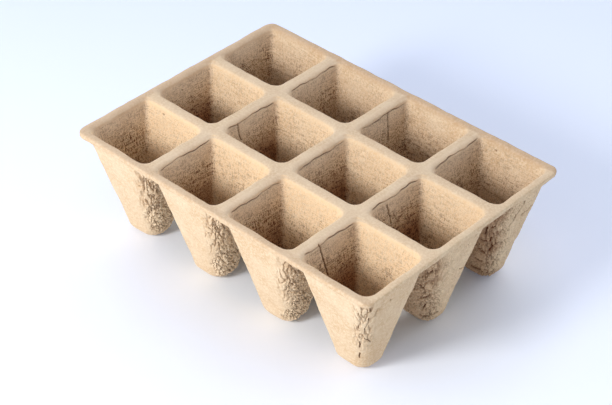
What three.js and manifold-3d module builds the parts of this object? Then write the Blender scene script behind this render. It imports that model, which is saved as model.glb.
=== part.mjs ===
// Seedling tray of moulded paper pulp: a flat lattice with twelve tapered cups hung below it.
// Millimetres, +Z up. X runs along the four columns, Y along the three rows.
// The origin is under the middle of the tray, on the surface that the cups stand on.
import * as THREE from 'three';
import { mergeVertices } from 'three/addons/utils/BufferGeometryUtils.js';
import Module from 'manifold-3d';

// Cells
const columns = 4;
const rows = 3;
const openingLength = 38.4;     // along X, at the top of a cell
const openingWidth = 36.4;      // along Y, at the top of a cell
const openingRadius = 4.7;      // upright corners of a cell, seen from above

// Sheet: the lattice between the cells and the rim around them
const trayHeight = 57.2;
const sheetThickness = 2.4;
const shoulder = 0.9;           // rounding of the sheet's upper edges
const cupGap = 2.2;             // between the walls of neighbouring cups, right under the sheet
const rimOverhang = 2;          // how far the rim stands out past the cup walls
const rimRadius = 4.4;          // corners of the rim, seen from above
const seamInset = 1;            // from the cell corners to the line where the rim becomes the web

// Cups
const wall = 2.2;
const floorLength = 18.9;       // along X, outside, at the floor
const floorWidth = 15.2;        // along Y, outside, at the floor
const floorRadius = 5.2;        // upright corners at the floor, outside
const floorThickness = 2.4;
const heel = 4;                 // rounding between the walls and the floor, outside
const leastHeel = 0.4;          // inside rounding that is left when the wall takes up the heel
const drainDiameter = 5;

// Finish
const pulpColour = 0xdcbf9d;
const shadedPulpColour = 0xcfb08c;
const pulpRoughness = 0.95;

// Fineness of the curved surfaces
const cornerSteps = 4;
const shoulderSteps = 2;
const outerHeelSteps = 3;
const innerHeelSteps = 2;
const cutMargin = 1;            // how far a cutting solid runs past the faces that it cuts

// Sizes that follow from the ones above
const pitchX = openingLength + 2 * wall + cupGap;
const pitchY = openingWidth + 2 * wall + cupGap;
const cupHeight = trayHeight - sheetThickness;
const flange = wall + rimOverhang;
const rimHalfX = ((columns - 1) * pitchX + openingLength) / 2 + flange;
const rimHalfY = ((rows - 1) * pitchY + openingWidth) / 2 + flange;
const innerHeel = Math.max(heel - wall, leastHeel);

const wasm = await Module();
wasm.setup();

// A closed ring of points round a rectangle with rounded corners, anticlockwise from above.
function roundedRing(halfX, halfY, radius, z) {
  const corners = [[1, 1], [-1, 1], [-1, -1], [1, -1]];
  const ring = [];
  corners.forEach(([sideX, sideY], quarter) => {
    for (let step = 0; step <= cornerSteps; step += 1) {
      const angle = (quarter + step / cornerSteps) * Math.PI / 2;
      const x = sideX * (halfX - radius) + radius * Math.cos(angle);
      const y = sideY * (halfY - radius) + radius * Math.sin(angle);
      ring.push(new THREE.Vector3(x, y, z));
    }
  });
  return ring;
}

// A circle with as many points as a rounded ring, so that the two can be joined.
function circleRing(radius, z) {
  const count = 4 * (cornerSteps + 1);
  const ring = [];
  for (let index = 0; index < count; index += 1) {
    const angle = (index + 0.5) / count * 2 * Math.PI;
    ring.push(new THREE.Vector3(radius * Math.cos(angle), radius * Math.sin(angle), z));
  }
  return ring;
}

// Joins each ring to the next. A closed loft joins the last ring to the first,
// and an open one runs upwards and is capped at both ends.
function loft(rings, closed) {
  const count = rings[0].length;
  const positions = rings.flat().flatMap((point) => point.toArray());
  const triangles = [];
  const bands = closed ? rings.length : rings.length - 1;
  for (let band = 0; band < bands; band += 1) {
    const low = band * count;
    const high = ((band + 1) % rings.length) * count;
    for (let index = 0; index < count; index += 1) {
      const next = (index + 1) % count;
      triangles.push(low + index, low + next, high + next);
      triangles.push(low + index, high + next, high + index);
    }
  }
  if (!closed) {
    const last = (rings.length - 1) * count;
    for (let index = 1; index < count - 1; index += 1) {
      triangles.push(0, index + 1, index);
      triangles.push(last, last + index, last + index + 1);
    }
  }
  const geometry = new THREE.BufferGeometry();
  geometry.setAttribute('position', new THREE.Float32BufferAttribute(positions, 3));
  geometry.setIndex(triangles);
  return geometry;
}

function toSolid(geometry) {
  const bare = geometry.clone();
  bare.deleteAttribute('normal');
  bare.deleteAttribute('uv');
  const merged = mergeVertices(bare);
  const vertProperties = new Float32Array(merged.attributes.position.array);
  const triVerts = new Uint32Array(merged.index.array);
  return new wasm.Manifold(new wasm.Mesh({ numProp: 3, vertProperties, triVerts }));
}

function toGeometry(solid) {
  const { vertProperties, triVerts } = solid.getMesh();
  const geometry = new THREE.BufferGeometry();
  geometry.setAttribute('position', new THREE.BufferAttribute(vertProperties, 3));
  geometry.setIndex(new THREE.BufferAttribute(triVerts, 1));
  return geometry;
}

function cellCentre(column, row) {
  const x = (column - (columns - 1) / 2) * pitchX;
  const y = (row - (rows - 1) / 2) * pitchY;
  return [x, y];
}

// Steps of the rounded shoulder, from the upright edge to the flat top.
function shoulderProfile() {
  const profile = [];
  for (let step = 0; step <= shoulderSteps; step += 1) {
    const angle = step / shoulderSteps * Math.PI / 2;
    const setback = shoulder * (1 - Math.cos(angle));
    const z = trayHeight - shoulder + shoulder * Math.sin(angle);
    profile.push({ setback, z });
  }
  return profile;
}

// The sheet without its openings, with the upper edge rounded.
function sheetBlank() {
  const rings = [roundedRing(rimHalfX, rimHalfY, rimRadius, cupHeight)];
  for (const { setback, z } of shoulderProfile()) {
    rings.push(roundedRing(rimHalfX - setback, rimHalfY - setback, rimRadius - setback, z));
  }
  return loft(rings, false);
}

// The space of one opening: straight sides that flare out over the shoulder.
function openingCutter() {
  const ring = (setback, z) => roundedRing(
    openingLength / 2 + setback,
    openingWidth / 2 + setback,
    openingRadius + setback,
    z,
  );
  const rings = [ring(0, cupHeight - cutMargin)];
  for (const { setback, z } of shoulderProfile()) {
    rings.push(ring(setback, z));
  }
  rings.push(ring(shoulder, trayHeight + cutMargin));
  return loft(rings, false);
}

// The pierced sheet, parted into the rim and the web where the lattice strips leave the rim.
function makeSheet() {
  let sheet = toSolid(sheetBlank());
  for (let row = 0; row < rows; row += 1) {
    for (let column = 0; column < columns; column += 1) {
      const [x, y] = cellCentre(column, row);
      sheet = sheet.subtract(toSolid(openingCutter().translate(x, y, 0)));
    }
  }
  const reach = flange + openingRadius + seamInset;
  const height = sheetThickness + 2 * cutMargin;
  const field = new THREE.BoxGeometry(2 * (rimHalfX - reach), 2 * (rimHalfY - reach), height);
  field.translate(0, 0, cupHeight + sheetThickness / 2);
  const fieldSolid = toSolid(field);
  return { rim: sheet.subtract(fieldSolid), web: sheet.intersect(fieldSolid) };
}

// One cup, standing on its own floor: outside up to the sheet, inside down to the floor,
// then through the drain hole back to the outside.
function makeCup() {
  const outside = (z, inset) => {
    const share = z / cupHeight;
    const halfX = THREE.MathUtils.lerp(floorLength / 2, openingLength / 2 + wall, share);
    const halfY = THREE.MathUtils.lerp(floorWidth / 2, openingWidth / 2 + wall, share);
    const radius = THREE.MathUtils.lerp(floorRadius, openingRadius + wall, share);
    return roundedRing(halfX - inset, halfY - inset, radius - inset, z);
  };
  const rings = [];
  for (let step = 0; step <= outerHeelSteps; step += 1) {
    const angle = step / outerHeelSteps * Math.PI / 2;
    rings.push(outside(heel * (1 - Math.cos(angle)), heel * (1 - Math.sin(angle))));
  }
  rings.push(outside(cupHeight, 0));
  rings.push(outside(cupHeight, wall));
  for (let step = innerHeelSteps; step >= 0; step -= 1) {
    const angle = step / innerHeelSteps * Math.PI / 2;
    const z = floorThickness + innerHeel * (1 - Math.cos(angle));
    rings.push(outside(z, wall + innerHeel * (1 - Math.sin(angle))));
  }
  rings.push(circleRing(drainDiameter / 2, floorThickness));
  rings.push(circleRing(drainDiameter / 2, 0));
  return loft(rings, true);
}

function pulp(colour) {
  return new THREE.MeshStandardMaterial({ color: colour, roughness: pulpRoughness, metalness: 0 });
}

function makeMesh(name, geometry, colour) {
  const mesh = new THREE.Mesh(geometry, pulp(colour));
  mesh.name = name;
  mesh.geometry.computeVertexNormals();
  return mesh;
}

const tray = new THREE.Group();
tray.name = 'seedling_tray';

const { rim, web } = makeSheet();
tray.add(makeMesh('rim', toGeometry(rim), pulpColour));
tray.add(makeMesh('web', toGeometry(web), pulpColour));

for (let row = 0; row < rows; row += 1) {
  for (let column = 0; column < columns; column += 1) {
    const cup = makeMesh(`cup_row${row + 1}_col${column + 1}`, makeCup(), shadedPulpColour);
    cup.position.set(...cellCentre(column, row), 0);
    tray.add(cup);
  }
}

export default tray;
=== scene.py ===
import bpy
import math
import numpy as np
from mathutils import Matrix, Vector


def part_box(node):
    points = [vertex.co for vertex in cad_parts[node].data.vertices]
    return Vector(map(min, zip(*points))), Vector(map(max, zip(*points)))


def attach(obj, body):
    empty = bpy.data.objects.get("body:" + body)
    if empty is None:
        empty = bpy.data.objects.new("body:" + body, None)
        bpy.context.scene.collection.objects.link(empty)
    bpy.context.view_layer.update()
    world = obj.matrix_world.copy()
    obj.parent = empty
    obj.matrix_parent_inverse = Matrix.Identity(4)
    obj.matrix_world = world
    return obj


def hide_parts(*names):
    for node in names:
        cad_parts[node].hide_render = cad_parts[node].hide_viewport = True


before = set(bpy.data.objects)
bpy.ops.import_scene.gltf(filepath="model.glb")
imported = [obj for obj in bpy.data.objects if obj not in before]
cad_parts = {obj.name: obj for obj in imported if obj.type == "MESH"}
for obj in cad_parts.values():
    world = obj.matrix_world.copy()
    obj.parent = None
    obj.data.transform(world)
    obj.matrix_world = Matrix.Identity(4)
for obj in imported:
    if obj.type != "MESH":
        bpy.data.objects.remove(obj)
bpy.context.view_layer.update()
mm = 0.001


# places taken from the frame: the cells' middles, the sheet and the cups
rows = 3
columns = 4
cupNames = [[f"cup_row{r + 1}_col{c + 1}" for c in range(columns)] for r in range(rows)]
rimLow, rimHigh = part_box("rim")
firstLow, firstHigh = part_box(cupNames[0][0])
lastLow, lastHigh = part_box(cupNames[-1][-1])
firstMiddle = (firstLow + firstHigh) / 2
lastMiddle = (lastLow + lastHigh) / 2
pitchX = (lastMiddle.x - firstMiddle.x) / (columns - 1)
pitchY = (lastMiddle.y - firstMiddle.y) / (rows - 1)
sheetTop = rimHigh.z
sheetUnder = firstHigh.z
cellMiddles = [
    (firstMiddle.x + c * pitchX, firstMiddle.y + r * pitchY) for r in range(rows) for c in range(columns)
]


def deselectAll():
    if bpy.context.object and bpy.context.object.mode != "OBJECT":
        bpy.ops.object.mode_set(mode="OBJECT")
    bpy.ops.object.select_all(action="DESELECT")


def makeActive(piece):
    deselectAll()
    piece.select_set(True)
    bpy.context.view_layer.objects.active = piece


def addBox(name, low, high):
    deselectAll()
    middle = [(a + b) / 2 for a, b in zip(low, high)]
    size = [b - a for a, b in zip(low, high)]
    bpy.ops.mesh.primitive_cube_add(size=1, location=middle, scale=size)
    piece = bpy.context.object
    piece.name = name
    bpy.ops.object.transform_apply(location=True, rotation=True, scale=True)
    return piece


# goes into edit mode with only the faces or edges that the test accepts selected
def pick(piece, kind, test):
    makeActive(piece)
    bpy.ops.object.mode_set(mode="EDIT")
    bpy.ops.mesh.select_mode(type=kind)
    bpy.ops.mesh.select_all(action="DESELECT")
    bpy.ops.object.mode_set(mode="OBJECT")
    mesh = piece.data
    if kind == "FACE":
        for face in mesh.polygons:
            face.select = test(face)
    else:
        for edge in mesh.edges:
            a, b = (mesh.vertices[i].co for i in edge.vertices)
            edge.select = test(a, b)
    bpy.ops.object.mode_set(mode="EDIT")


def finishWith(piece, kind, **settings):
    makeActive(piece)
    step = piece.modifiers.new(kind.lower(), kind)
    for key, value in settings.items():
        setattr(step, key, value)
    bpy.ops.object.modifier_apply(modifier=step.name)


def isUpright(a, b):
    return abs(a.z - b.z) > 2 * abs(a.x - b.x) and abs(a.z - b.z) > 2 * abs(a.y - b.y)


def copyTo(piece, x, y):
    twin = piece.copy()
    twin.data = piece.data.copy()
    bpy.context.collection.objects.link(twin)
    twin.data.transform(Matrix.Translation((x, y, 0)))
    return twin


def join(pieces):
    makeActive(pieces[0])
    for piece in pieces:
        piece.select_set(True)
    bpy.ops.object.join()
    return bpy.context.object


# one cup, modelled at the origin as a skin and given its wall inwards
cup = {
    "topLength": firstHigh.x - firstLow.x,
    "topWidth": firstHigh.y - firstLow.y,
    "floorLength": 18.9 * mm,
    "floorWidth": 15.2 * mm,
    "cornerRadius": 7 * mm,
    "cornerSteps": 6,
    "wall": 2 * mm,
    "heel": 6 * mm,
    "heelSteps": 4,
    "drain": 5 * mm,
    "drainInset": 0.6 * mm,
    "tuck": 1.2 * mm,          # how far the wall runs up into the sheet
}


# half the cup's outside length and width at a height
def halfLength(z):
    s = z / sheetUnder
    return (cup["floorLength"] * (1 - s) + cup["topLength"] * s) / 2


def halfWidth(z):
    s = z / sheetUnder
    return (cup["floorWidth"] * (1 - s) + cup["topWidth"] * s) / 2


def modelCup():
    heel = cup["heel"]
    top = sheetUnder + cup["tuck"]
    hx, hy = halfLength(top), halfWidth(top)
    piece = addBox("cup", (-hx, -hy, heel), (hx, hy, top))
    # draw the underside in, then round the four upright edges
    pick(piece, "FACE", lambda face: face.normal.z < -0.9)
    bpy.ops.transform.resize(value=(halfLength(heel) / hx, halfWidth(heel) / hy, 1))
    pick(piece, "EDGE", isUpright)
    bpy.ops.mesh.bevel(offset=cup["cornerRadius"], segments=cup["cornerSteps"])
    # turn the heel under in a quarter round
    pick(piece, "FACE", lambda face: face.normal.z < -0.9)
    previous = 0
    for step in range(1, cup["heelSteps"] + 1):
        angle = math.pi / 2 * step / cup["heelSteps"]
        drop = heel * (math.sin(angle) - math.sin(previous))
        before = heel * (1 - math.cos(previous))
        after = heel * (1 - math.cos(angle))
        sizeX = (halfLength(heel) - after) / (halfLength(heel) - before)
        sizeY = (halfWidth(heel) - after) / (halfWidth(heel) - before)
        bpy.ops.mesh.extrude_region_move(TRANSFORM_OT_translate={"value": (0, 0, -drop)})
        bpy.ops.transform.resize(value=(sizeX, sizeY, 1))
        previous = angle
    # the drain hole, then the open mouth
    bpy.ops.mesh.inset(thickness=cup["drainInset"])
    bpy.ops.transform.tosphere(value=1)
    bpy.ops.object.mode_set(mode="OBJECT")
    drainFace = min(piece.data.polygons, key=lambda face: face.center.z + face.area)
    reach = max(piece.data.vertices[i].co.xy.length for i in drainFace.vertices)
    bpy.ops.object.mode_set(mode="EDIT")
    bpy.ops.transform.resize(value=[cup["drain"] / 2 / reach] * 2 + [1])
    bpy.ops.mesh.delete(type="FACE")
    pick(piece, "FACE", lambda face: face.normal.z > 0.9)
    bpy.ops.mesh.delete(type="FACE")
    finishWith(piece, "SOLIDIFY", thickness=cup["wall"], offset=-1, use_even_offset=True)
    return piece


# the flat lattice that the cups hang from, with its openings cut right through;
# the moulding runs over a wide shoulder into the left and back walls of a cell
sheet = {
    "cornerRadius": 4.4 * mm,
    "openingRadius": 4.4 * mm,
    "cornerSteps": 8,
    "wideShoulder": 2.4 * mm,
    "tightShoulder": 0.6 * mm,
    "shoulderDepth": 2.3 * mm,
    "shoulderSteps": 4,
    "skirt": 1.7 * mm,         # the hollow under the rim, where it runs into the walls
    "skirtInset": 1.9 * mm,
    "cutBelow": 6 * mm,        # how far the openings are cut past the sheet
    "cutAbove": 4 * mm,
}


def modelSheet():
    low = (rimLow.x, rimLow.y, sheetUnder)
    high = (rimHigh.x, rimHigh.y, sheetTop)
    piece = addBox("sheet", low, high)
    pick(piece, "EDGE", isUpright)
    bpy.ops.mesh.bevel(offset=sheet["cornerRadius"], segments=sheet["cornerSteps"])
    pick(piece, "FACE", lambda face: face.normal.z < -0.9)
    bpy.ops.mesh.extrude_region_move(TRANSFORM_OT_translate={"value": (0, 0, -sheet["skirt"])})
    inset = sheet["skirtInset"]
    bpy.ops.transform.resize(value=(1 - inset / high[0], 1 - inset / high[1], 1))
    hx = halfLength(sheetUnder) - cup["wall"]
    hy = halfWidth(sheetUnder) - cup["wall"]
    shoulderLow = sheetTop - sheet["shoulderDepth"]
    cutter = addBox("cutter", (-hx, -hy, sheetUnder - sheet["cutBelow"]), (hx, hy, shoulderLow))
    pick(cutter, "EDGE", isUpright)
    bpy.ops.mesh.bevel(offset=sheet["openingRadius"], segments=sheet["cornerSteps"])
    pick(cutter, "FACE", lambda face: face.normal.z > 0.9)
    reach = (sheet["wideShoulder"] + sheet["tightShoulder"]) / 2
    slide = (sheet["wideShoulder"] - sheet["tightShoulder"]) / 2
    flare, height = 0, 0
    for step in range(1, sheet["shoulderSteps"] + 1):
        angle = math.pi / 2 * step / sheet["shoulderSteps"]
        nextFlare, nextHeight = 1 - math.cos(angle), math.sin(angle)
        rise = sheet["shoulderDepth"] * (nextHeight - height)
        move = slide * (nextFlare - flare)
        bpy.ops.mesh.extrude_region_move(TRANSFORM_OT_translate={"value": (-move, move, rise)})
        sizeX = (hx + reach * nextFlare) / (hx + reach * flare)
        sizeY = (hy + reach * nextFlare) / (hy + reach * flare)
        bpy.ops.transform.resize(value=(sizeX, sizeY, 1))
        flare, height = nextFlare, nextHeight
    bpy.ops.mesh.extrude_region_move(TRANSFORM_OT_translate={"value": (0, 0, sheet["cutAbove"])})
    deselectAll()
    cutters = [copyTo(cutter, x, y) for x, y in cellMiddles]
    bpy.data.objects.remove(cutter)
    cutter = join(cutters)
    finishWith(piece, "BOOLEAN", operation="DIFFERENCE", solver="EXACT", object=cutter)
    bpy.data.objects.remove(cutter)
    return piece


# the real tray is one felted moulding, so the sheet and the cups grow together in one remesh
moulding = {
    "voxel": 0.72 * mm,
    "smoothing": 2,
    "smoothFactor": 0.5,
    "partingHeight": sheetUnder - 2.4 * mm,   # where the cups are parted from the sheet again
}
oneCup = modelCup()
deselectAll()
cups = [copyTo(oneCup, x, y) for x, y in cellMiddles]
bpy.data.objects.remove(oneCup)
tray = join([modelSheet()] + cups)
print("solids modelled", len(tray.data.polygons), "faces")
finishWith(tray, "REMESH", mode="VOXEL", voxel_size=moulding["voxel"])
finishWith(tray, "SMOOTH", factor=moulding["smoothFactor"], iterations=moulding["smoothing"])
print("moulding grown together", len(tray.data.polygons), "faces")


def readPoints(mesh):
    flat = np.empty(3 * len(mesh.vertices))
    mesh.vertices.foreach_get("co", flat)
    return flat.reshape(-1, 3)


def readNormals(mesh):
    flat = np.empty(3 * len(mesh.vertices))
    mesh.vertex_normals.foreach_get("vector", flat)
    return flat.reshape(-1, 3)


def readSkin(mesh):
    flat = np.empty(3 * len(mesh.vertices), dtype=np.float32)
    mesh.attributes["skin"].data.foreach_get("vector", flat)
    skin = flat.reshape(-1, 3).astype(float)
    return skin / np.maximum(np.linalg.norm(skin, axis=1, keepdims=True), 1e-9)


def writePoints(mesh, points):
    mesh.vertices.foreach_set("co", points.ravel())
    mesh.update()


def ease(low, high, value):
    t = np.clip((value - low) / (high - low), 0, 1)
    return t * t * (3 - 2 * t)


def fromHex(code):
    parts = [int(code[i:i + 2], 16) / 255 for i in (1, 3, 5)]
    return [c / 12.92 if c <= 0.04045 else ((c + 0.055) / 1.055) ** 2.4 for c in parts] + [1]


def addNode(tree, kind, settings, links=None, out=0):
    node = tree.nodes.new(kind if kind.startswith("Geometry") else "ShaderNode" + kind)
    for key, value in settings.items():
        if isinstance(key, int) or key in node.inputs:
            node.inputs[key].default_value = value
        else:
            setattr(node, key, value)
    for key, source in (links or {}).items():
        tree.links.new(source, node.inputs[key])
    return node.outputs[out]


# where each point lies on its cup: cell, place in the cell and which side of the wall
def surveyCups(mesh):
    x, y, z = readPoints(mesh).T
    skin = readSkin(mesh) if "skin" in mesh.attributes else readNormals(mesh)
    place = {"z": z, "up": skin[:, 2]}
    place["column"] = np.clip(np.rint((x - firstMiddle.x) / pitchX), 0, columns - 1).astype(int)
    place["row"] = np.clip(np.rint((y - firstMiddle.y) / pitchY), 0, rows - 1).astype(int)
    place["x"] = x - firstMiddle.x - place["column"] * pitchX
    place["y"] = y - firstMiddle.y - place["row"] * pitchY
    place["hx"] = halfLength(z)
    place["hy"] = halfWidth(z)
    outward = skin[:, 0] * place["x"] + skin[:, 1] * place["y"]
    outside = np.where(np.abs(skin[:, 2]) > 0.8, skin[:, 2] < 0, outward > 0)
    place["inside"] = ~outside
    place["outside"] = outside & (z < sheetUnder)
    return place


# the pulp tore and crumbled where the cups left the mould: on the faces between
# neighbouring cups and down their front right corners, and least on the open faces
crumble = {
    "fringe": (-0.6 * mm, -0.6 * mm, -0.6 * mm, 2.6 * mm),   # past the right-hand corners, by column
    "fringeStart": 0.3,        # as a share of the corner's radius, where the fringe reaches past it
    "leftShare": 0.6,
    "betweenRows": 0.6,
    "endMost": (0.32, 0.9, 1.05),     # on the open end face of the last column, row by row
    "endShare": (0.2, 0.36, 0.4),     # where it has cleared
    "endFrom": (0.06, 0.08, 0.12),    # where that face clears, as a share of its width, row by row
    "endTo": (0.3, 0.46, 0.5),
    "endSway": 20 * mm,        # the wobble over this length moves that place
    "paintedEndShade": (0, 0.35, 0.6),  # how dark the painted shade is there, row by row
    "paintedEndShadeTo": (0.02, 0.34),  # as shares of that face's width
    "paintedHeelShade": 0.8,
    "paintedHeelShadeTo": (2 * mm, 7 * mm),
    "heelShare": 0.15,
    "heelTo": (2 * mm, 6 * mm),
    "lowShare": 0.7,           # what is left of it at the foot
    "lowTo": (2 * mm, 9 * mm),
    "rimClear": (4 * mm, 1.5 * mm),   # below the sheet, where it runs out
    "wobble": ((1.5 * mm, 1 / (4.1 * mm), 1), (0.8 * mm, 1 / (1.7 * mm), 2)),
    "wobbleTurn": (1.7, 2.9),  # from column to column and from row to row
    "least": 0.1,              # finer mesh from this share on
    "drift": 1.2 * mm,         # wander of the pattern
    "driftSize": 3 * mm,
    "bulgeSize": 4 * mm,
    "bulgeLift": 0.6,          # all lifts and depths in millimetres
    "lumpSize": 1.0 * mm,
    "lumpTall": 1.2,
    "lumpLift": 2.2,
    "flakeSize": 1.7 * mm,
    "flakeLift": 0.4,
    "seamDepth": 1.0,
    "seamWidth": 0.17,
    "breakSize": 5 * mm,       # patches where the seams nearly close
    "breaks": (0.36, 0.5),
    "breakLeast": 0.15,
    "tearSize": 2.6 * mm,      # the ragged edge of the torn skin
    "tearShare": 0.7,
    "tornFrom": (0.15, 0.85),
    "tearDrop": 0.15,
    "furrowSize": 2.3 * mm,
    "furrowTall": 6,
    "furrowDepth": 1.1,
    "furrowWidth": 0.17,
    "furrowStart": 0.4,        # from the right-hand corner, as a share of its radius
    "furrowReach": 3 * mm,     # past the corner's round
    "furrowSway": 0.5,
    "furrowFoot": (12 * mm, 36 * mm),
    "furrowRim": (3 * mm, 0.5 * mm),
    "furrowCalm": 0.45,        # how much of the crumble the furrows take up
    "deepest": 0.85,
    "wallLeft": 1.3,           # nothing cuts deeper, so that the wall stays whole
    "highest": 0.8,
    "waveSize": 9 * mm,        # the whole moulding dried a little uneven
    "waveLift": 0.8,
    "pits": (-0.3, -0.9),      # heights that count as hollows and as peaks
    "peaks": (0.1, 0.6),
    "pitShade": 0.36,
    "seamShade": 0.3,
    "furrowShade": 0.4,
    "crackShade": 0.95,
}


# a sum of waves, each with its reach, its rate and its share of the phase
def sway(value, waves, phase):
    return sum(reach * np.sin(rate * value + turn * phase) for reach, rate, turn in waves)


# how crumbled and furrowed each point is, and how much painted shade the end faces get
def crumbleShares(place):
    look = crumble
    radius = cup["cornerRadius"]
    z, column, row = place["z"], place["column"], place["row"]
    turnX, turnY = look["wobbleTurn"]
    wobble = sway(z, look["wobble"], turnX * column + turnY * row)
    fromRight = place["hx"] - place["x"]
    fromLeft = place["hx"] + place["x"]
    fromFront = place["hy"] + place["y"]
    fromBack = place["hy"] - place["y"]
    endMost, endShare, endFrom, endTo, paintedEndShadeMost = (
        np.array(look[key])[row] for key in ("endMost", "endShare", "endFrom", "endTo", "paintedEndShade")
    )
    lastColumn = column == columns - 1
    fringe = np.array(look["fringe"])[column]
    start = np.where(fringe > 0, look["fringeStart"] * radius, 0)
    right = 1 - ease(start, radius + fringe, fromRight + wobble)
    along = fromFront / (2 * place["hy"]) + wobble / look["endSway"]
    clear = ease(endFrom, endTo, along)
    right = np.where(lastColumn, right * (endMost * (1 - clear) + endShare * clear), right)
    left = look["leftShare"] * (1 - ease(0, radius, fromLeft))
    left *= ease(radius, 2 * radius, fromFront + wobble) * ease(radius, 2 * radius, fromBack)
    left = np.where(column == 0, look["endShare"][0] * left, left)
    front = look["betweenRows"] * (1 - ease(0, radius, fromFront)) * (row > 0)
    back = look["betweenRows"] * (1 - ease(0, radius, fromBack)) * (row < rows - 1)
    back *= ease(radius, 2 * radius, fromLeft)
    heel = look["heelShare"] * (1 - ease(*look["heelTo"], z))
    share = np.max([right, left, front, back, heel], axis=0)
    rimFar, rimNear = look["rimClear"]
    share *= place["outside"] * (1 - ease(sheetUnder - rimFar, sheetUnder - rimNear, z))
    # long furrows down the corner and the right face, under the rim
    reach = radius + look["furrowReach"]
    furrows = 1 - ease(look["furrowStart"] * radius, reach, fromRight + look["furrowSway"] * wobble)
    furrows *= ease(*look["furrowFoot"], z + wobble) * place["outside"]
    furrows *= np.where(lastColumn, 1 - clear, 1)
    rimFar, rimNear = look["furrowRim"]
    furrows *= 1 - ease(sheetUnder - rimFar, sheetUnder - rimNear, z)
    low = look["lowShare"]
    share *= (1 - look["furrowCalm"] * furrows) * (low + (1 - low) * ease(*look["lowTo"], z))
    # painted shade on the left part of the end faces and under their heels
    under = look["paintedHeelShade"] * (1 - ease(*look["paintedHeelShadeTo"], z))
    paintedEndShade = np.maximum(1 - ease(*look["paintedEndShadeTo"], along), under)
    paintedEndShade *= lastColumn * place["outside"] * paintedEndShadeMost
    return share, furrows, paintedEndShade


# drying cracks and pinholes by row, column, wall and side, each with its width, its depth and its
# places along the wall and above the table; "right" runs from the front right corner on
cracks = {
    (0, 3, "left", "inside"): [(0.5, 0.9, ((-5.2, 56), (-4.5, 50.7), (-4, 45.5), (-3.3, 40)))],
    (1, 1, "left", "inside"): [(0.5, 0.8, ((-7.9, 55), (-8.1, 51), (-7.8, 46.8)))],
    (1, 3, "left", "inside"): [(0.45, 0.7, ((-4.8, 53.6), (-4.5, 50), (-4, 44)))],
    (2, 2, "left", "inside"): [(0.45, 0.7, ((4.4, 55), (3.2, 48.7), (1.8, 42)))],
    (0, 0, "back", "inside"): [(0.6, 0.7, ((-7.3, 53.4), (-6.9, 53.5)))],
    (1, 0, "left", "inside"): [(0.5, 0.6, ((-2.1, 51), (-1.9, 50.8)))],
    (2, 3, "back", "inside"): [(0.55, 0.7, ((-10, 53), (-9.7, 52.8)))],
    (0, 3, "right", "outside"): [
        (0.42, 0.9, ((-2.1, 23), (-1.9, 19))),
        (0.42, 0.9, ((-1.9, 14.5), (-1.9, 10.5))),
        (0.4, 0.7, ((0, 26.5), (1.4, 24.5), (2.8, 23))),
        (0.35, 0.5, ((2.1, 47.5), (2.2, 46.5))),
        (0.35, 0.5, ((1.4, 41), (1.3, 38))),
        (0.35, 0.5, ((-3.1, 34.5), (-2.6, 31.5))),
        (0.45, 0.5, ((10.6, 47.3), (10.8, 46.3))),
    ],
    (1, 3, "right", "outside"): [
        (0.8, 1.2, ((-1.7, 39.2), (0.1, 41))),
        (0.6, 1.1, ((-3.4, 19.7), (-1.4, 21), (0.3, 23))),
        (0.8, 1.2, ((-3.2, 6), (-1, 5.6), (1.2, 6.3), (4.7, 7))),
        (0.5, 0.8, ((20, 48.5), (20.8, 49.4))),
        (0.4, 0.7, ((14, 31), (16, 29.3))),
        (0.7, 1.1, ((-5.2, 29), (-2.6, 27))),
        (0.5, 1, ((-1.5, 15.5), (-2.2, 11))),
    ],
    (2, 3, "right", "outside"): [
        (0.55, 1, ((14.7, 48.4), (14, 46.5), (12, 43.5), (10.5, 40), (8, 36.5))),
        (0.5, 0.9, ((19.5, 40.7), (17.5, 39), (14.6, 38.3))),
        (0.8, 1.2, ((3.6, 28.6), (1, 26.3), (-0.5, 21.8))),
        (0.7, 0.9, ((13.7, 21), (12.3, 16))),
        (0.6, 1, ((-3, 40.4), (-3.4, 35))),
        (0.6, 1, ((1, 41), (-1.1, 39.4))),
        (0.6, 1, ((-0.2, 33.3), (-0.7, 29.3))),
        (0.7, 1.1, ((-5.1, 29.5), (-2.5, 29))),
        (0.7, 1.1, ((-5.3, 21.3), (-2.7, 20))),
        (0.7, 1.1, ((-6, 14), (-3.4, 13.3))),
        (0.8, 1.2, ((-7.6, 6), (-3.4, 6.7))),
        (0.5, 0.9, ((2.5, 13.6), (1.5, 9))),
    ],
}

# how the cracks waver along the wall and up it, in millimetres
crackSway = {
    "along": ((0.12, 1.7, 0), (0.06, 5.3, 1)),
    "up": ((0.15, 2.7, 0),),
    "meshed": (1.2, 0.7),      # the mesh is finer this near to a crack, and finer still
}

# the crease under the sheet's edge inside the cells, where the wet felt folded over the mould
crease = {
    "columns": (1, 2, 3),
    "drop": (1.9, 2.5, 1.5),       # below the sheet's top, column by column
    "from": 50,                    # above the table
    "width": 0.42,
    "depth": 0.7,
    "sway": ((0.35, 1 / 3.3, 1), (0.15, 1 / 1.1, 2)),
    "turn": (2.3, 4.1),            # of the waves, from column to column and from row to row
    "fade": 0.45,                  # how far it closes, in waves along the wall
    "fadeSway": ((1, 1 / 4.7, 1.3),),
    "fadeTo": 0.6,
    "ends": (13.5, 16.3),          # from the wall's middle, where it runs out
    "middle": 1,
}

# the groove under the rim of the right end
groove = {
    "from": 45,                    # above the table
    "height": 52.1,
    "width": 0.5,
    "depth": 0.5,
    "flat": 0.2,
    "sway": ((0.3, 1 / 5, 1), (0.1, 1 / 1.3, 0)),
}


def distanceToPath(u, v, path):
    nearest = np.full(len(u), np.inf)
    for (u0, v0), (u1, v1) in zip(path[:-1], path[1:]):
        du, dv = u1 - u0, v1 - v0
        t = np.clip(((u - u0) * du + (v - v0) * dv) / (du * du + dv * dv), 0, 1)
        nearest = np.minimum(nearest, np.hypot(u - u0 - t * du, v - v0 - t * dv))
    return nearest


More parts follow.
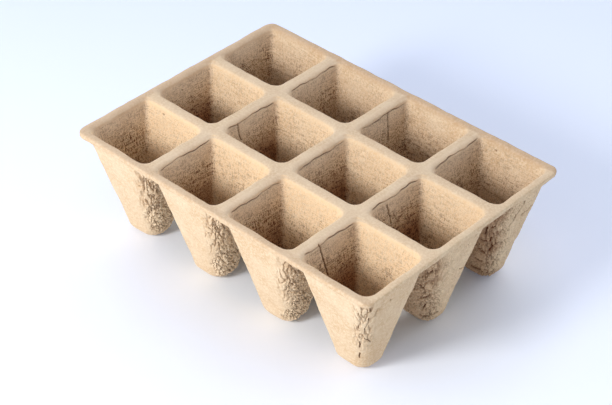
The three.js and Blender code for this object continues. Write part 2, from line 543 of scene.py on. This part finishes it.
# how deep the cracks and creases cut at each point, and how near they are, in millimetres
def carve(place):
    carved = np.zeros(len(place["z"]))
    clearance = np.full(len(place["z"]), np.inf)
    x, y, z, hx, hy = (place[key] / mm for key in ("x", "y", "z", "hx", "hy"))
    column, row = place["column"], place["row"]

    # a cut with a flat bottom over a share of its width
    def cut(near, away, width, depth, flat=0.25):
        carved[near] = np.maximum(carved[near], depth * (1 - ease(flat * width, width, away)))
        clearance[near] = np.minimum(clearance[near], away)

    # the places along each wall, and the points that are on it
    walls = {
        "left": (y, x < -0.6 * hx),
        "back": (x, y > 0.6 * hy),
        "right": ((x - hx + y + hy) / math.sqrt(2), (x > 0) & ((y < 0) | (x > 0.75 * hx))),
    }
    for (inRow, inColumn, wall, side), paths in cracks.items():
        along, onWall = walls[wall]
        near = (column == inColumn) & (row == inRow) & place[side] & onWall
        u = along[near] + sway(z[near], crackSway["along"], 1)
        v = z[near] + sway(along[near], crackSway["up"], 1)
        for width, depth, path in paths:
            cut(near, distanceToPath(u, v, path), width, depth)
    near = (column == columns - 1) & place["outside"] & (x > 0.85 * hx) & (z > groove["from"])
    away = np.abs(groove["height"] + sway(y[near], groove["sway"], row[near]) - z[near])
    cut(near, away, groove["width"], groove["depth"], groove["flat"])
    turnX, turnY = crease["turn"]
    for inColumn, drop in zip(crease["columns"], crease["drop"]):
        near = (column == inColumn) & place["inside"] & (z > crease["from"]) & (x < -0.7 * hx)
        phase = turnX * inColumn + turnY * row[near]
        away = np.abs(sheetTop / mm - drop + sway(y[near], crease["sway"], phase) - z[near])
        closed = ease(0, crease["fadeTo"], sway(y[near], crease["fadeSway"], phase))
        strength = 1 - crease["fade"] * closed
        strength *= 1 - ease(*crease["ends"], np.abs(y[near] - crease["middle"]))
        cut(near, away, crease["width"], strength * crease["depth"])
    return carved, clearance


def setAttribute(mesh, name, values):
    kind, slot = ("FLOAT", "value") if values.ndim == 1 else ("FLOAT_VECTOR", "vector")
    attribute = mesh.attributes.get(name) or mesh.attributes.new(name, kind, "POINT")
    attribute.data.foreach_set(slot, np.ascontiguousarray(values, dtype=np.float32).ravel())


# the crumbled skin: lumps with seams between them on bulges and flakes, then furrows and cracks
def crumbleNodes():
    look = crumble
    tree = bpy.data.node_groups.new("crumble", "GeometryNodeTree")
    tree.interface.new_socket("Geometry", in_out="INPUT", socket_type="NodeSocketGeometry")
    tree.interface.new_socket("Geometry", in_out="OUTPUT", socket_type="NodeSocketGeometry")
    shape = tree.nodes.new("NodeGroupInput").outputs[0]
    mark = {}
    for name, kind in (
        ("carved", "FLOAT"), ("crumbled", "FLOAT"), ("furrowed", "FLOAT"), ("skin", "FLOAT_VECTOR"),
    ):
        settings = {"data_type": kind, "Name": name}
        mark[name] = addNode(tree, "GeometryNodeInputNamedAttribute", settings, out="Attribute")
    # the patterns wander with a slow drift and are drawn out upwards
    still = addNode(tree, "GeometryNodeInputPosition", {})
    drift = addNode(tree, "TexNoise", {"Scale": 1 / look["driftSize"], "Detail": 2},
                    {"Vector": still}, "Color")
    place = addNode(tree, "VectorMath", {"operation": "MULTIPLY_ADD", 1: [look["drift"]] * 3},
                    {0: drift, 2: still})
    tall = look["lumpTall"]
    pattern = {}
    for name, size, upwards, kind, settings, out in (
        ("bulges", look["bulgeSize"], tall, "TexNoise", {"Detail": 1}, "Fac"),
        ("lumps", look["lumpSize"], tall, "TexNoise", {"Detail": 2, "Roughness": 0.6}, "Fac"),
        ("flakes", look["flakeSize"], tall, "TexVoronoi", {}, "Color"),
        ("edges", look["flakeSize"], tall, "TexVoronoi", {"feature": "DISTANCE_TO_EDGE"}, "Distance"),
        ("patches", look["breakSize"], 1, "TexNoise", {}, "Fac"),
        ("tear", look["tearSize"], tall, "TexNoise", {"Detail": 2}, "Fac"),
        ("furrows", look["furrowSize"], look["furrowTall"], "TexNoise", {"Detail": 1}, "Fac"),
    ):
        scale = (1 / size, 1 / size, 1 / size / upwards)
        scaled = addNode(tree, "VectorMath", {"operation": "MULTIPLY", 1: scale}, {0: place})
        pattern[name] = addNode(tree, kind, {"Scale": 1, **settings}, {"Vector": scaled}, out)
    soft = {"interpolation_type": "SMOOTHSTEP"}
    multiply = {"operation": "MULTIPLY"}
    multiplyAdd = {"operation": "MULTIPLY_ADD"}
    # lumps parted by seams, on broader bulges and flakes
    seam = addNode(tree, "MapRange", {**soft, 1: 0, 2: look["seamWidth"], 3: 1, 4: 0},
                   {0: pattern["edges"]})
    start, end = look["breaks"]
    broken = addNode(tree, "MapRange", {**soft, 1: start, 2: end, 3: look["breakLeast"], 4: 1},
                     {0: pattern["patches"]})
    seams = addNode(tree, "Math", multiply, {0: seam, 1: broken})
    fine = addNode(tree, "Math", {**multiplyAdd, 1: look["lumpLift"], 2: -look["lumpLift"] / 2},
                   {0: pattern["lumps"]})
    fine = addNode(tree, "Math", {**multiplyAdd, 1: -look["seamDepth"]}, {0: seams, 2: fine})
    lumpy = fine
    for name, lift in (("bulges", look["bulgeLift"]), ("flakes", look["flakeLift"])):
        centred = addNode(tree, "Math", {**multiplyAdd, 1: lift, 2: -lift / 2}, {0: pattern[name]})
        lumpy = addNode(tree, "Math", {"operation": "ADD"}, {0: lumpy, 1: centred})
    lumpy = addNode(tree, "Clamp", {"Min": -look["deepest"], "Max": look["highest"]}, {"Value": lumpy})
    # where the skin is torn, with a ragged edge
    ragged = addNode(tree, "Math", {**multiplyAdd, 1: look["tearShare"], 2: -look["tearShare"] / 2},
                     {0: pattern["tear"]})
    ragged = addNode(tree, "Math", {"operation": "ADD"}, {0: mark["crumbled"], 1: ragged})
    start, end = look["tornFrom"]
    torn = addNode(tree, "MapRange", {**soft, 1: start, 2: end}, {0: ragged})
    tornLumps = addNode(tree, "Math", multiply, {0: torn, 1: lumpy})
    # furrows along the creases of a folded noise
    signed = addNode(tree, "Math", {**multiplyAdd, 1: 2, 2: -1}, {0: pattern["furrows"]})
    folded = addNode(tree, "Math", {"operation": "ABSOLUTE"}, {0: signed})
    furrow = addNode(tree, "MapRange", {**soft, 1: 0, 2: look["furrowWidth"], 3: 1, 4: 0}, {0: folded})
    furrow = addNode(tree, "Math", multiply, {0: mark["furrowed"], 1: furrow})
    # all heights together push the skin out or in
    uneven = addNode(tree, "TexNoise", {"Scale": 1 / look["waveSize"], "Detail": 1},
                     {"Vector": still}, "Fac")
    lift = look["waveLift"] * mm
    height = addNode(tree, "Math", {**multiplyAdd, 1: lift, 2: -lift / 2}, {0: uneven})
    for value, lift in (
        (tornLumps, 1), (torn, -look["tearDrop"]), (furrow, -look["furrowDepth"]), (mark["carved"], -1),
    ):
        height = addNode(tree, "Math", {**multiplyAdd, 1: lift * mm}, {0: value, 2: height})
    height = addNode(tree, "Math", {"operation": "MAXIMUM", 1: -look["wallLeft"] * mm}, {0: height})
    outward = addNode(tree, "VectorMath", {"operation": "NORMALIZE"}, {0: mark["skin"]})
    push = addNode(tree, "VectorMath", {"operation": "SCALE"}, {0: outward, "Scale": height})
    # what the material reads: painted shade in the hollows, the torn skin and painted highlights on its
    # peaks
    shaded = {}
    for name in ("pits", "peaks"):
        start, end = look[name]
        level = addNode(tree, "MapRange", {**soft, 1: start, 2: end}, {0: fine})
        shaded[name] = addNode(tree, "Math", multiply, {0: torn, 1: level})
    tornSeams = addNode(tree, "Math", multiply, {0: torn, 1: seams})
    # painted shade in the pits, seams, furrows and cracks
    creviceShade = addNode(tree, "Math", {**multiply, 1: look["pitShade"]}, {0: shaded["pits"]})
    for value, shade in (
        (tornSeams, look["seamShade"]), (furrow, look["furrowShade"]), (mark["carved"], look["crackShade"]),
    ):
        creviceShade = addNode(tree, "Math", {**multiplyAdd, "use_clamp": True, 1: shade}, {0: value, 2: creviceShade})
    for name, value in (("creviceShade", creviceShade), ("torn", torn), ("paintedCrumbHighlight", shaded["peaks"])):
        settings = {"data_type": "FLOAT", "domain": "POINT", "Name": name}
        links = {"Geometry": shape, "Value": value}
        shape = addNode(tree, "GeometryNodeStoreNamedAttribute", settings, links)
    shape = addNode(tree, "GeometryNodeSetPosition", {}, {"Geometry": shape, "Offset": push})
    tree.links.new(shape, tree.nodes.new("NodeGroupOutput").inputs[0])
    return tree


# halves the mesh size of the faces that touch a marked point
def refine(piece, marked):
    mesh = piece.data
    corners = np.empty(len(mesh.loops), dtype=np.int32)
    mesh.loops.foreach_get("vertex_index", corners)
    starts = np.empty(len(mesh.polygons), dtype=np.int32)
    mesh.polygons.foreach_get("loop_start", starts)
    pick(piece, "FACE", lambda face: False)
    bpy.ops.object.mode_set(mode="OBJECT")
    mesh.polygons.foreach_set("select", np.logical_or.reduceat(marked[corners], starts))
    bpy.ops.object.mode_set(mode="EDIT")
    bpy.ops.mesh.subdivide(number_cuts=1)
    bpy.ops.object.mode_set(mode="OBJECT")


def cutLevel(piece, z, **side):
    makeActive(piece)
    bpy.ops.object.mode_set(mode="EDIT")
    bpy.ops.mesh.select_mode(type="EDGE")
    bpy.ops.mesh.select_all(action="SELECT")
    bpy.ops.mesh.bisect(plane_co=(0, 0, z), plane_no=(0, 0, 1), **side)
    bpy.ops.mesh.select_all(action="DESELECT")
    bpy.ops.object.mode_set(mode="OBJECT")


# closes the cut walls between their outer and their inner edge
def closeWalls(piece, facing):
    makeActive(piece)
    bpy.ops.object.mode_set(mode="EDIT")
    bpy.ops.mesh.select_mode(type="EDGE")
    bpy.ops.mesh.select_all(action="DESELECT")
    bpy.ops.mesh.select_non_manifold(
        use_wire=False, use_multi_face=False, use_non_contiguous=False, use_verts=False
    )
    bpy.ops.mesh.fill()
    bpy.ops.object.mode_set(mode="OBJECT")
    if sum(face.normal.z for face in piece.data.polygons if face.select) * facing < 0:
        bpy.ops.object.mode_set(mode="EDIT")
        bpy.ops.mesh.flip_normals()
        bpy.ops.object.mode_set(mode="OBJECT")


# parts the moulding at the crease under the sheet
def partTray():
    z = moulding["partingHeight"]
    lower = copyTo(tray, 0, 0)
    cutLevel(tray, z, clear_inner=True)
    tray.name = "lattice_sheet"
    closeWalls(tray, -1)
    cutLevel(lower, z, clear_outer=True)
    bpy.ops.object.mode_set(mode="EDIT")
    bpy.ops.mesh.separate(type="LOOSE")
    bpy.ops.object.mode_set(mode="OBJECT")
    parted = {}
    for piece in list(bpy.context.selected_objects):
        middle = sum((Vector(corner) for corner in piece.bound_box), Vector()) / 8
        c = round((middle.x - firstMiddle.x) / pitchX)
        r = round((middle.y - firstMiddle.y) / pitchY)
        closeWalls(piece, 1)
        parted[cupNames[r][c]] = piece
    return parted


# inside, the upright corners are tighter than the outer ones: each point there slides out
# from the middle of the corner's round until the round has become a squarer curve
innerCorner = {
    "squareness": 3,               # 2 leaves the round as it is
    "farSquareness": 5,            # in the far left corner
    "farFrom": sheetTop,           # the far left corner is tight right up to the top
    "otherFrom": sheetUnder - 8 * mm,
    "blend": (-1 * mm, 3 * mm),    # from there on, upwards
    "foot": (2 * mm, 9 * mm),
    "core": 0.5,                   # as shares of the radius: points this near to the middle stay,
    "fade": (1.45, 1.15),          # and so do those past the wall
}


def tightenCorners(mesh):
    look = innerCorner
    points = readPoints(mesh)
    place = surveyCups(mesh)
    wall = cup["wall"]
    radius = cup["cornerRadius"] - wall
    awayX = np.maximum(np.abs(place["x"]) + radius - place["hx"] + wall, 0)
    awayY = np.maximum(np.abs(place["y"]) + radius - place["hy"] + wall, 0)
    reach = np.hypot(awayX, awayY)
    far = (place["x"] < 0) & (place["y"] > 0)
    power = np.where(far, look["farSquareness"], look["squareness"])
    square = np.maximum(awayX ** power + awayY ** power, 1e-20) ** (1 / power)
    top = np.where(far, look["farFrom"], look["otherFrom"])
    blendLow, blendHigh = look["blend"]
    share = (1 - ease(top + blendLow, top + blendHigh, place["z"])) * ease(*look["foot"], place["z"])
    share *= place["inside"] & (awayX > 0) & (awayY > 0) & (reach > look["core"] * radius)
    fadeFrom, fadeTo = look["fade"]
    share *= ease(fadeFrom * radius, fadeTo * radius, reach)
    slide = share * (reach / square - 1)
    points[:, 0] += np.sign(place["x"]) * awayX * slide
    points[:, 1] += np.sign(place["y"]) * awayY * slide
    writePoints(mesh, points)


tightenCorners(tray.data)
setAttribute(tray.data, "skin", readNormals(tray.data))
partedCups = partTray()
pieces = [tray] + list(partedCups.values())
print("moulding parted into", len(pieces), "pieces")

# painted shade deep in the cells, by row and column, and along the rim's outer bands; painted light on the
# lit walls and the tops; and where the screen's print shows
paintedShading = {
    "corner": 0.15,                # the shaded left walls pass into the others over this share
    "lit": (2 * mm, 18 * mm),      # below the sheet's top, on the right and back walls
    "litMost": (0, 0.03, 0.2),     # row by row
    "paintedLight": (0.8, 0.5, 0.15),     # painted light on the right and back walls, row by row
    "paintedLightUp": 0.8,                # faces that look up more than this are no walls
    "shaded": (8 * mm, 28 * mm),   # on the left walls
    "shadedMost": (                # by row and column
        (0.1, 0.7, 0.8, 1.1),
        (1, 1.2, 1.1, 1.25),
        (0.2, 0.35, 0.3, 0.45),
    ),
    # painted shade along the rim's outer bands
    "frontRim": 0.15,
    "backRim": 0.3,
    "leftRim": 0.22,
    "rimBand": 3.5 * mm,           # width of these bands of painted shade
    "rimBlend": 1 * mm,
    "upFacingLightMost": 0.5,               # painted light on faces that look up, at the top of the sheet
    "upFacingLightUp": (0.5, 0.95),
    "upFacingLightBelow": (2.4 * mm, 0.8 * mm),
    "shoulderLightBelow": (15 * mm, 5 * mm),
    "litPrint": 0.6,               # how clear the screen's print is on the right and back walls
    "litPrintTop": 0.4,            # and of that near the top
    "printBelow": (5 * mm, 22 * mm),
    "printFrom": (1.5 * mm, 3.5 * mm),
}


# how much painted shade and painted light each point gets, and how printed it is, for the material
def tintSkin(mesh, place, paintedEndShade):
    look = paintedShading
    x, y, z = readPoints(mesh).T
    row, column, inside = place["row"], place["column"], place["inside"]
    below = sheetTop - z
    sideways = np.abs(place["x"] / place["hx"]) - np.abs(place["y"] / place["hy"])
    leftness = ease(-look["corner"], look["corner"], sideways) * (place["x"] < 0)
    # painted shade deep in the cells: on the shaded left walls, then on the lit walls
    depth = leftness * np.array(look["shadedMost"])[row, column] * ease(*look["shaded"], below)
    depth += (1 - leftness) * np.array(look["litMost"])[row] * ease(*look["lit"], below)
    bandX, bandY = rimHigh.x - look["rimBand"], rimHigh.y - look["rimBand"]
    blend = look["rimBlend"]
    edge = np.max([
        look["frontRim"] * ease(blend - bandY, -bandY, y),
        look["backRim"] * ease(bandY - blend, bandY, y),
        look["leftRim"] * ease(blend - bandX, -bandX, x),
    ], axis=0)
    edge *= ease(sheetUnder - blend, sheetUnder, z)
    # painted shade: deep in the cells, on the end faces and along the rim's bands
    setAttribute(mesh, "paintedShade", np.maximum(np.where(inside, depth, paintedEndShade), edge))
    # painted light on the right and back walls, strongest in the front row
    wall = inside * (1 - leftness) * (place["up"] < look["paintedLightUp"])
    setAttribute(mesh, "paintedLight", np.array(look["paintedLight"])[row] * wall)
    # painted light on faces that look up and on the upper shoulder of the shaded left walls
    upFacingLight = look["upFacingLightMost"] * ease(*look["upFacingLightUp"], place["up"]) * ease(*look["upFacingLightBelow"], below)
    shoulderLight = leftness * inside * ease(*look["shoulderLightBelow"], below)
    setAttribute(mesh, "top", np.maximum(upFacingLight, shoulderLight))
    atTop = look["litPrintTop"]
    litPrint = look["litPrint"] * (atTop + (1 - atTop) * ease(*look["printBelow"], below))
    printed = inside * (litPrint * (1 - leftness) + leftness)
    setAttribute(mesh, "printed", printed * ease(*look["printFrom"], below))


surface = crumbleNodes()
near, nearest = crackSway["meshed"]
for piece in pieces:
    place = surveyCups(piece.data)
    worked = carve(place)[1] < near
    if piece != tray:
        worked |= np.max(crumbleShares(place)[:2], axis=0) > crumble["least"]
    refine(piece, worked)
    refine(piece, carve(surveyCups(piece.data))[1] < nearest)
    place = surveyCups(piece.data)
    share, furrows, paintedEndShade = crumbleShares(place)
    setAttribute(piece.data, "crumbled", share)
    setAttribute(piece.data, "furrowed", furrows)
    setAttribute(piece.data, "carved", carve(place)[0])
    tintSkin(piece.data, place, paintedEndShade)
    finishWith(piece, "NODES", node_group=surface)
    points = readPoints(piece.data)
    points[:, 2] = np.maximum(points[:, 2], 0)   # nothing crumbles down into the table
    writePoints(piece.data, points)
    print("surface shaped on", piece.name, len(piece.data.polygons), "faces")


# Moulded paper pulp: wet waste-paper fibre drawn on to a wire screen and dried without pressing.
# The eye gets a dead matt, mottled tan felt; its colour carries painted shade in its cracks and deep in
# the cells and painted light on its tops, it is paler and frayed where it tore (the paleness partly painted
# light), and on the inside it shows the print of the screen as broken upright and level lines. The screen's
# wires lie about 1.2 mm apart. The fibres and crumbs are finer in the real felt, and are drawn as coarse as
# they need to show.
pulpLook = {
    "fibre": "#dcc2a2",
    "pale": "#ead5b8",
    "dark": "#cfae88",
    # painted light on the tops and on the upper shoulder of the shaded walls
    "top": "#e9d0b6",
    "topShare": 0.5,
    # the dark of the screen's print and of fibre ends, and painted shade in hollows and cracks
    "crevice": "#653512",
    # painted light on the right and back walls
    "paintedLight": "#f2d1a6",
    # paler where the skin tore: partly frayed fibre, partly painted light that lifts the shaded faces
    # between the cups
    "torn": "#fae0bd",
    "crumbHighlight": "#ffeed6",             # painted highlight on the raised crumbs
    "paintedShading": "#b39077",            # painted shade: multiplies the tone deep inside, on the end faces and along the rim
    "mottleSize": 11 * mm,
    "mottleFrom": (0.3, 0.7),
    "grainSize": 1.1 * mm,
    "grainFrom": (0.42, 0.72),
    "grainShare": 0.85,
    "feltSize": 0.6 * mm,
    "feltHeight": 0.2 * mm,
    "printLine": 0.6 * mm,         # half the pitch of the wires
    "printLong": 4.5 * mm,
    "printHeight": 0.16 * mm,
    "printMiddle": 1,              # of the two sets of lines added up
    "printDent": 0.82,
    "printRidge": 1.16,
    "printShade": 0.95,
    "printLight": 0.7,
    "clearSize": 13.5 * mm,        # patches where the print is clear or faint
    "clearFrom": (0.35, 0.6),
    "clearLeast": 0.3,
    "speckSize": 0.5 * mm,         # dark and pale fibre ends
    "speckDark": (0.5, 0.3),
    "speckPale": (0.5, 0.7),
    "speckShade": 0.8,
    "speckLight": 0.8,
    "tornSpecks": 0.65,            # as a share of those on the printed walls
    "tornSize": 0.7 * mm,          # fine crumbs on the torn places
    "tornHeight": 0.85 * mm,
    "roughness": 0.95,
    "ior": 1.5,
}


def mouldedPulp(name):
    look = pulpLook
    material = bpy.data.materials.new(name)
    material.use_nodes = True
    tree = material.node_tree
    shader = tree.nodes["Principled BSDF"]
    shader.inputs["Roughness"].default_value = look["roughness"]
    shader.inputs["IOR"].default_value = look["ior"]
    where = addNode(tree, "TexCoord", {}, out="Object")
    multiply = {"operation": "MULTIPLY"}
    multiplyAdd = {"operation": "MULTIPLY_ADD"}
    mark = {}
    for key in ("paintedLight", "printed", "torn", "paintedCrumbHighlight", "top", "paintedShade", "creviceShade"):
        mark[key] = addNode(tree, "Attribute", {"attribute_name": key}, out="Fac")
    noise = {}
    for key, detail, rough in (
        ("mottle", 3, 0.5), ("grain", 3, 0.65), ("clear", 2, 0.5), ("speck", 1, 0.5),
        ("felt", 3, 0.6), ("torn", 2, 0.5),
    ):
        settings = {"Scale": 1 / look[key + "Size"], "Detail": detail, "Roughness": rough}
        noise[key] = addNode(tree, "TexNoise", settings, {"Vector": where}, "Fac")
    # each layer of tone has its colour, the way it mixes and the share that it covers
    layers = []
    start, end = look["mottleFrom"]
    layers.append(("fibre", "MIX", addNode(tree, "MapRange", {1: start, 2: end}, {0: noise["mottle"]})))
    # painted light on the right and back walls
    layers.append(("paintedLight", "MIX", mark["paintedLight"]))
    start, end = look["grainFrom"]
    grain = addNode(tree, "MapRange", {1: start, 2: end, 3: 0, 4: look["grainShare"]}, {0: noise["grain"]})
    layers.append(("pale", "MIX", grain))
    # the screen's print: upright and level lines, clearer in patches
    lines = []
    line, long = look["printLine"], look["printLong"]
    for size in ((line, line, long), (long, long, line)):
        scaled = addNode(tree, "VectorMath", {"operation": "DIVIDE", 1: size}, {0: where})
        lines.append(addNode(tree, "TexNoise", {"Scale": 1, "Detail": 1}, {"Vector": scaled}, "Fac"))
    weave = addNode(tree, "Math", {"operation": "ADD"}, {0: lines[0], 1: lines[1]})
    start, end = look["clearFrom"]
    clear = addNode(tree, "MapRange", {1: start, 2: end, 3: look["clearLeast"], 4: 1}, {0: noise["clear"]})
    clear = addNode(tree, "Math", multiply, {0: mark["printed"], 1: clear})
    for colour, end, most in (("pale", "printRidge", "printLight"), ("crevice", "printDent", "printShade")):
        settings = {"interpolation_type": "SMOOTHSTEP", 1: look["printMiddle"], 2: look[end]}
        dents = addNode(tree, "MapRange", settings, {0: weave})
        dents = addNode(tree, "Math", multiply, {0: dents, 1: clear})
        layers.append((colour, "MIX", addNode(tree, "Math", {**multiply, 1: look[most]}, {0: dents})))
    # the torn skin's paler tone, partly painted light, and painted highlights on its raised crumbs, then
    # dark and pale fibre ends
    # the torn skin's paler tone, partly painted light
    layers.append(("torn", "MIX", mark["torn"]))
    # painted highlight on the raised crumbs
    layers.append(("crumbHighlight", "MIX", mark["paintedCrumbHighlight"]))
    frayed = addNode(tree, "Math", {**multiply, 1: look["tornSpecks"]}, {0: mark["torn"]})
    coarse = addNode(tree, "Math", {"operation": "MAXIMUM"}, {0: mark["printed"], 1: frayed})
    for colour, ends, most in (("crevice", "speckDark", "speckShade"), ("pale", "speckPale", "speckLight")):
        start, end = look[ends]
        specks = addNode(tree, "MapRange", {1: start, 2: end, 3: 0, 4: look[most]}, {0: noise["speck"]})
        layers.append((colour, "MIX", addNode(tree, "Math", multiply, {0: specks, 1: coarse})))
    # painted light on the tops and shaded shoulders, painted shade deep in the cells, on the end faces and
    # rim, and in hollows
    # painted light on the tops and shoulders
    paintedTopLight = addNode(tree, "Math", {**multiply, 1: look["topShare"]}, {0: mark["top"]})
    layers.append(("top", "MIX", paintedTopLight))
    # painted shade multiplied into the tone
    layers.append(("paintedShading", "MULTIPLY", mark["paintedShade"]))
    layers.append(("crevice", "MIX", mark["creviceShade"]))
    tone = None
    for colour, blend, share in layers:
        settings = {"data_type": "RGBA", "blend_type": blend, 7: fromHex(look[colour])}
        links = {0: share}
        if tone is None:
            settings[6] = fromHex(look["dark"])
        else:
            links[6] = tone
        tone = addNode(tree, "Mix", settings, links, out=2)
    tree.links.new(tone, shader.inputs["Base Color"])
    # felt with the print pressed into it, and crumbs on it; dents are the print's dark ones here
    printDepth = -look["printHeight"] / look["feltHeight"]
    relief = addNode(tree, "Math", {**multiplyAdd, 1: printDepth}, {0: dents, 2: noise["felt"]})
    crumbs = addNode(tree, "Math", multiply, {0: noise["torn"], 1: mark["torn"]})
    crumbHeight = look["tornHeight"] / look["feltHeight"]
    relief = addNode(tree, "Math", {**multiplyAdd, 1: crumbHeight}, {0: crumbs, 2: relief})
    bump = addNode(tree, "Bump", {"Strength": 1, "Distance": look["feltHeight"]}, {"Height": relief})
    tree.links.new(bump, shader.inputs["Normal"])
    return material


pulp = mouldedPulp("moulded_paper_pulp")
smoothAngle = math.radians(45)
for piece in pieces:
    piece.data.materials.clear()
    piece.data.materials.append(pulp)
    makeActive(piece)
    bpy.ops.object.shade_smooth_by_angle(angle=smoothAngle)

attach(tray, "root")
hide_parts("rim", "web")
for name, piece in partedCups.items():
    piece.name = name.replace("cup", "pot")
    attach(piece, "root")
    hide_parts(name)
print("pieces set on the frame")


# the camera, as fitted to the tray's outline in the photograph
view = {
    "azimuth": 43.216,
    "elevation": 37.794,
    "roll": 0.105,
    "distance": 871.25 * mm,
    "aim": (-2.19 * mm, -3.45 * mm, 27.29 * mm),
    "focalPixels": 1863.4,
    "imageWidth": 612,
    "clipStart": 10 * mm,
}


# a white table with pale screens round it and one soft lamp from the front
studio = {
    "floorNear": "#fafcff",
    # painted shade: the floor darkens towards the back
    "floorFarShaded": "#cdd7e8",
    "floorRoughness": 0.8,
    "floorGlow": "#b2c3ff",        # lifts the shadows on the white table, for the camera only
    "floorGlowStrength": 0.25,
    "floorGlowFrom": (0.055, 0.1), # metres from the tray's middle, along the short side
    "floorBlend": (-0.25, 0.55),   # metres behind the tray over which the tone changes
    "floorSize": 8,
    "screenColour": "#f4f9ff",
    "screens": {(0, 1, 0): 2.8, (0, -1, 0): 1.5, (-1, 0, 0): 1.15, (1, 0, 0): 0.45},
    "screenFade": 2,               # how fast a screen fades away from its middle
    "keyDirection": (-0.15, -0.85, 0.54),
    "keyDistance": 1.0,
    "keySize": 0.3,
    "keyLevel": 0.645,             # brightness of a white card that faces the lamp
}
azimuth, elevation = math.radians(view["azimuth"]), math.radians(view["elevation"])


# White laminate: a smooth pressed sheet. The eye gets an even matt white; its colour is painted darker and
# cooler towards the back, as painted shade.
def whiteLaminate(name):
    material = bpy.data.materials.new(name)
    material.use_nodes = True
    tree = material.node_tree
    shader = tree.nodes["Principled BSDF"]
    shader.inputs["Roughness"].default_value = studio["floorRoughness"]
    where = addNode(tree, "TexCoord", {}, out="Object")
    # painted shade: the floor's colour darkens away from the camera
    backwards = (-math.sin(azimuth), math.cos(azimuth), 0)
    away = addNode(tree, "VectorMath", {"operation": "DOT_PRODUCT", 1: backwards}, {0: where}, "Value")
    start, end = studio["floorBlend"]
    blend = addNode(tree, "MapRange", {1: start, 2: end}, {0: away})
    colours = {6: fromHex(studio["floorNear"]), 7: fromHex(studio["floorFarShaded"])}
    tone = addNode(tree, "Mix", {"data_type": "RGBA", **colours}, {0: blend}, out=2)
    tree.links.new(tone, shader.inputs["Base Color"])
    # the glow, which leaves out the floor under the tray
    seen = addNode(tree, "LightPath", {}, out="Is Camera Ray")
    path = seen.node
    for kind in ("Is Glossy Ray", "Is Transmission Ray"):
        seen = addNode(tree, "Math", {"operation": "ADD"}, {0: seen, 1: path.outputs[kind]})
    slimness = pitchY * rows / (pitchX * columns)
    flat = addNode(tree, "VectorMath", {"operation": "MULTIPLY", 1: (slimness, 1, 0)}, {0: where})
    fromTray = addNode(tree, "VectorMath", {"operation": "LENGTH"}, {0: flat}, "Value")
    start, end = studio["floorGlowFrom"]
    strength = studio["floorGlowStrength"]
    clearFloor = addNode(tree, "MapRange", {1: start, 2: end, 3: 0, 4: strength}, {0: fromTray})
    glow = addNode(tree, "Math", {"operation": "MULTIPLY"}, {0: seen, 1: clearFloor})
    shader.inputs["Emission Color"].default_value = fromHex(studio["floorGlow"])
    tree.links.new(glow, shader.inputs["Emission Strength"])
    return material


deselectAll()
bpy.ops.mesh.primitive_plane_add(size=studio["floorSize"], location=(0, 0, 0))
floor = bpy.context.object
floor.name = "floor"
floor.data.materials.append(whiteLaminate("white_laminate"))

toKey = Vector(studio["keyDirection"]).normalized()
bpy.ops.object.light_add(type="AREA", location=toKey * studio["keyDistance"])
keyLamp = bpy.context.object
keyLamp.data.shape = "DISK"
keyLamp.data.size = studio["keySize"]
keyLamp.data.energy = studio["keyLevel"] * math.pi ** 2 * studio["keyDistance"] ** 2
keyLamp.rotation_euler = (-toKey).to_track_quat("-Z", "Y").to_euler()

# the screens stand on the horizon, brightest straight ahead, and leave the ceiling dark
world = bpy.data.worlds.new("studio")
bpy.context.scene.world = world
world.use_nodes = True
tree = world.node_tree
sky = tree.nodes["Background"]
sky.inputs["Color"].default_value = fromHex(studio["screenColour"])
ray = addNode(tree, "TexCoord", {}, out="Generated")
level = None
for direction, strength in studio["screens"].items():
    facing = addNode(tree, "VectorMath", {"operation": "DOT_PRODUCT", 1: direction}, {0: ray}, "Value")
    ahead = addNode(tree, "Math", {"operation": "MAXIMUM", 1: 0}, {0: facing})
    soft = addNode(tree, "Math", {"operation": "POWER", 1: studio["screenFade"]}, {0: ahead})
    links = {0: soft}
    if level is not None:
        links[2] = level
    level = addNode(tree, "Math", {"operation": "MULTIPLY_ADD", 1: strength, 2: 0}, links)
tree.links.new(level, sky.inputs["Strength"])
print("studio set up")

towards = Vector((
    math.sin(azimuth) * math.cos(elevation),
    -math.cos(azimuth) * math.cos(elevation),
    math.sin(elevation),
))
bpy.ops.object.camera_add()
camera = bpy.context.object
roll = Matrix.Rotation(math.radians(view["roll"]), 4, "Z")
turn = towards.to_track_quat("Z", "Y").to_matrix().to_4x4() @ roll
camera.matrix_world = Matrix.Translation(Vector(view["aim"]) + towards * view["distance"]) @ turn
camera.data.lens = view["focalPixels"] / view["imageWidth"] * camera.data.sensor_width
camera.data.clip_start = view["clipStart"]
bpy.context.scene.camera = camera
bpy.context.scene.view_settings.view_transform = "Standard"
